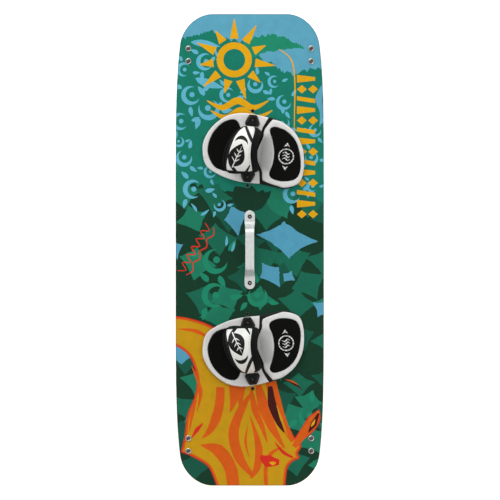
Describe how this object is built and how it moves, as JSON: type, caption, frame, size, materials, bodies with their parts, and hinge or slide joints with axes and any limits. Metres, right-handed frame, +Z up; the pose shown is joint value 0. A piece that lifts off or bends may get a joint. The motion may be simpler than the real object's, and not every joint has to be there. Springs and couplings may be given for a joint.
{
  "type": "kiteboard",
  "caption": "Twin-tip board with straight tips and bowed sides, two padded strap bindings, a centre grab handle and bolted corner fins.",
  "frame": {"origin": "on the ground under the middle of the board, which stands on its four fins", "axes": "+X to the heel edge, +Y to the right foot's tip, +Z up out of the deck"},
  "size_m": [0.421, 1.34, 0.1365],
  "materials": {
    "deck_print": "printed sheet under a clear satin coat",
    "base_print": "printed sheet, smooth",
    "abs_black": "milled ABS sidewall",
    "paulownia": "bare core",
    "stainless": "turned and polished",
    "black_steel": "black oxide",
    "anodised_aluminium": "satin silver anodised",
    "fin_black": "moulded glass-filled nylon",
    "nylon_black": "moulded, fine grain",
    "pad_white": "moulded foam, smooth skin",
    "eva_black": "textured grip foam",
    "neoprene_black": "padded, knitted face",
    "webbing_black": "woven webbing",
    "strap_print": "printed synthetic cover, bound edges"
  },
  "bodies": {
    "board": {"base_sheet": "base_print", "edge_rail": "abs_black", "grab_handle": "anodised_aluminium", "handle_insert_left": "stainless", "handle_insert_right": "stainless", "handle_screw_left": "black_steel", "handle_screw_right": "black_steel", "left_anchor_cap_inner": "nylon_black", "left_anchor_cap_outer": "nylon_black", "left_anchor_screw_inner": "black_steel", "left_anchor_screw_outer": "black_steel", "left_base_plate": "nylon_black", "left_heel_fin": "fin_black", "left_heel_fin_screw_1": "stainless", "left_heel_fin_screw_2": "stainless", "left_heel_fin_washer_1": "stainless", "left_heel_fin_washer_2": "stainless", "left_heel_inlay": "eva_black", "left_heel_pad": "pad_white", "left_insert_strip_inner": "stainless", "left_insert_strip_outer": "stainless", "left_toe_fin": "fin_black", "left_toe_fin_screw_1": "stainless", "left_toe_fin_screw_2": "stainless", "left_toe_fin_washer_1": "stainless", "left_toe_fin_washer_2": "stainless", "left_toe_inlay": "eva_black", "left_toe_pad": "pad_white", "right_anchor_cap_inner": "nylon_black", "right_anchor_cap_outer": "nylon_black", "right_anchor_screw_inner": "black_steel", "right_anchor_screw_outer": "black_steel", "right_base_plate": "nylon_black", "right_heel_fin": "fin_black", "right_heel_fin_screw_1": "stainless", "right_heel_fin_screw_2": "stainless", "right_heel_fin_washer_1": "stainless", "right_heel_fin_washer_2": "stainless", "right_heel_inlay": "eva_black", "right_heel_pad": "pad_white", "right_insert_strip_inner": "stainless", "right_insert_strip_outer": "stainless", "right_toe_fin": "fin_black", "right_toe_fin_screw_1": "stainless", "right_toe_fin_screw_2": "stainless", "right_toe_fin_washer_1": "stainless", "right_toe_fin_washer_2": "stainless", "right_toe_inlay": "eva_black", "right_toe_pad": "pad_white", "top_sheet": "deck_print", "wood_core": "paulownia"},
    "right_strap": {"right_strap_band": "webbing_black", "right_strap_liner": "neoprene_black"},
    "right_cover": {"right_strap_cover": "strap_print"},
    "left_strap": {"left_strap_band": "webbing_black", "left_strap_liner": "neoprene_black"},
    "left_cover": {"left_strap_cover": "strap_print"}
  },
  "joints": [
    {"name": "right_strap_tilt", "type": "hinge", "parent": "board", "child": "right_strap", "pos_m": [0.001, 0.28769, 0.05699], "axis": [0.0906, 0.995, 0.0422], "range_deg": [-15, 15], "stiffness_Nm_per_rad": 4},
    {"name": "right_cover_flap", "type": "hinge", "parent": "right_strap", "child": "right_cover", "pos_m": [-0.04812, 0.22136, 0.07436], "axis": [0.9942, -0.0931, 0.0536], "range_deg": [0, 90]},
    {"name": "left_strap_tilt", "type": "hinge", "parent": "board", "child": "left_strap", "pos_m": [0.001, -0.28769, 0.05699], "axis": [-0.0906, 0.995, -0.0422], "range_deg": [-15, 15], "stiffness_Nm_per_rad": 4},
    {"name": "left_cover_flap", "type": "hinge", "parent": "left_strap", "child": "left_cover", "pos_m": [-0.04812, -0.22136, 0.07436], "axis": [-0.9942, -0.0931, -0.0536], "range_deg": [0, 90]}
  ]
}
